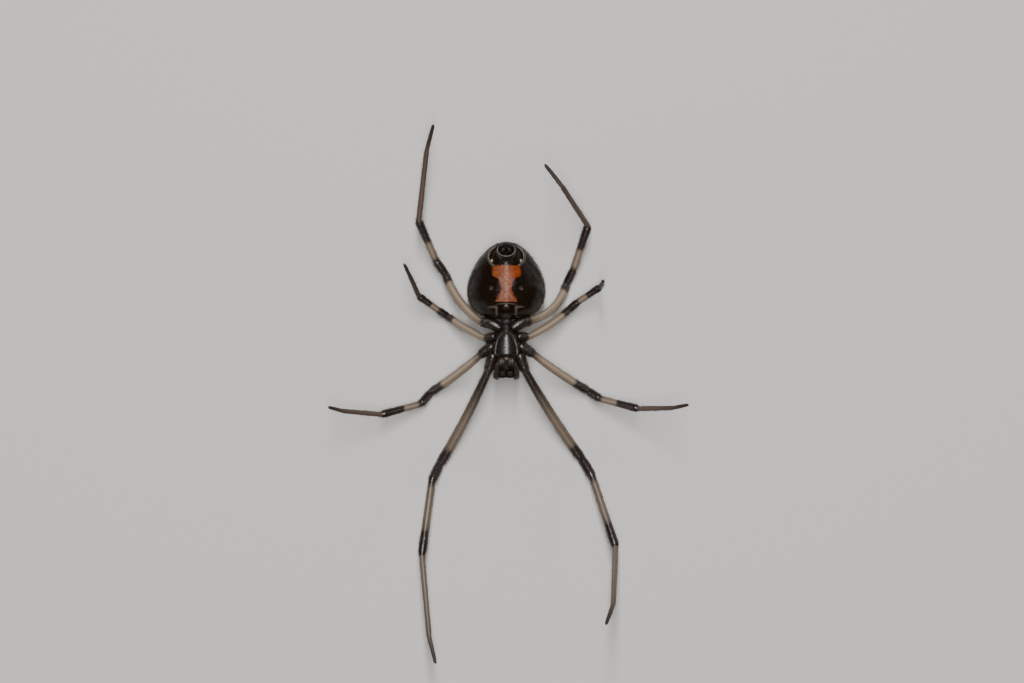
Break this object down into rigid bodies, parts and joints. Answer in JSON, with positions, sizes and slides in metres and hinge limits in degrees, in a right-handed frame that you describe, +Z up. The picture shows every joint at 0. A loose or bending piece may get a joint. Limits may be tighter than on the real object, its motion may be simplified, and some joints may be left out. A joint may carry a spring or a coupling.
{
  "type": "black widow spider",
  "caption": "Life-size still model of a female widow spider on its back, banded legs spread and raised, with the hourglass mark on its glossy abdomen showing.",
  "frame": {"origin": "on the floor, under the middle of the outline of the body and spread legs", "axes": "+Z up, on the spider's belly side, as it lies on its back; -Y towards its head; +X towards its own right side"},
  "size_m": [0.0236, 0.0354, 0.0082],
  "materials": {
    "black_cuticle": "glossy hard skin, near black",
    "brown_cuticle": "satin hard skin, brown",
    "dark_cuticle": "satin hard skin, dark brown",
    "eye": "polished black",
    "pale_cuticle": "satin hard skin, pale tan between dark joints"
  },
  "bodies": {
    "root": {"abdomen": "black_cuticle", "carapace": "dark_cuticle", "chelicera_left": "black_cuticle", "chelicera_right": "black_cuticle", "eye_anterior_lateral_left": "eye", "eye_anterior_lateral_right": "eye", "eye_anterior_median_left": "eye", "eye_anterior_median_right": "eye", "eye_posterior_lateral_left": "eye", "eye_posterior_lateral_right": "eye", "eye_posterior_median_left": "eye", "eye_posterior_median_right": "eye", "leg_1_left_coxa": "dark_cuticle", "leg_1_left_femur": "pale_cuticle", "leg_1_left_patella": "black_cuticle", "leg_1_left_tarsus": "brown_cuticle", "leg_1_left_tibia": "pale_cuticle", "leg_1_right_coxa": "dark_cuticle", "leg_1_right_femur": "pale_cuticle", "leg_1_right_patella": "black_cuticle", "leg_1_right_tarsus": "brown_cuticle", "leg_1_right_tibia": "pale_cuticle", "leg_2_left_coxa": "dark_cuticle", "leg_2_left_femur": "pale_cuticle", "leg_2_left_patella": "black_cuticle", "leg_2_left_tarsus": "brown_cuticle", "leg_2_left_tibia": "pale_cuticle", "leg_2_right_coxa": "dark_cuticle", "leg_2_right_femur": "pale_cuticle", "leg_2_right_patella": "black_cuticle", "leg_2_right_tarsus": "brown_cuticle", "leg_2_right_tibia": "pale_cuticle", "leg_3_left_coxa": "dark_cuticle", "leg_3_left_femur": "pale_cuticle", "leg_3_left_patella": "black_cuticle", "leg_3_left_tarsus": "brown_cuticle", "leg_3_left_tibia": "pale_cuticle", "leg_3_right_coxa": "dark_cuticle", "leg_3_right_femur": "pale_cuticle", "leg_3_right_patella": "black_cuticle", "leg_3_right_tarsus": "brown_cuticle", "leg_3_right_tibia": "pale_cuticle", "leg_4_left_coxa": "dark_cuticle", "leg_4_left_femur": "pale_cuticle", "leg_4_left_patella": "black_cuticle", "leg_4_left_tarsus": "brown_cuticle", "leg_4_left_tibia": "pale_cuticle", "leg_4_right_coxa": "dark_cuticle", "leg_4_right_femur": "pale_cuticle", "leg_4_right_patella": "black_cuticle", "leg_4_right_tarsus": "brown_cuticle", "leg_4_right_tibia": "pale_cuticle", "mouthparts": "dark_cuticle", "pedicel": "dark_cuticle", "pedipalp_left": "dark_cuticle", "pedipalp_right": "dark_cuticle", "spinnerets": "black_cuticle", "sternum": "black_cuticle"}
  },
  "joints": []
}
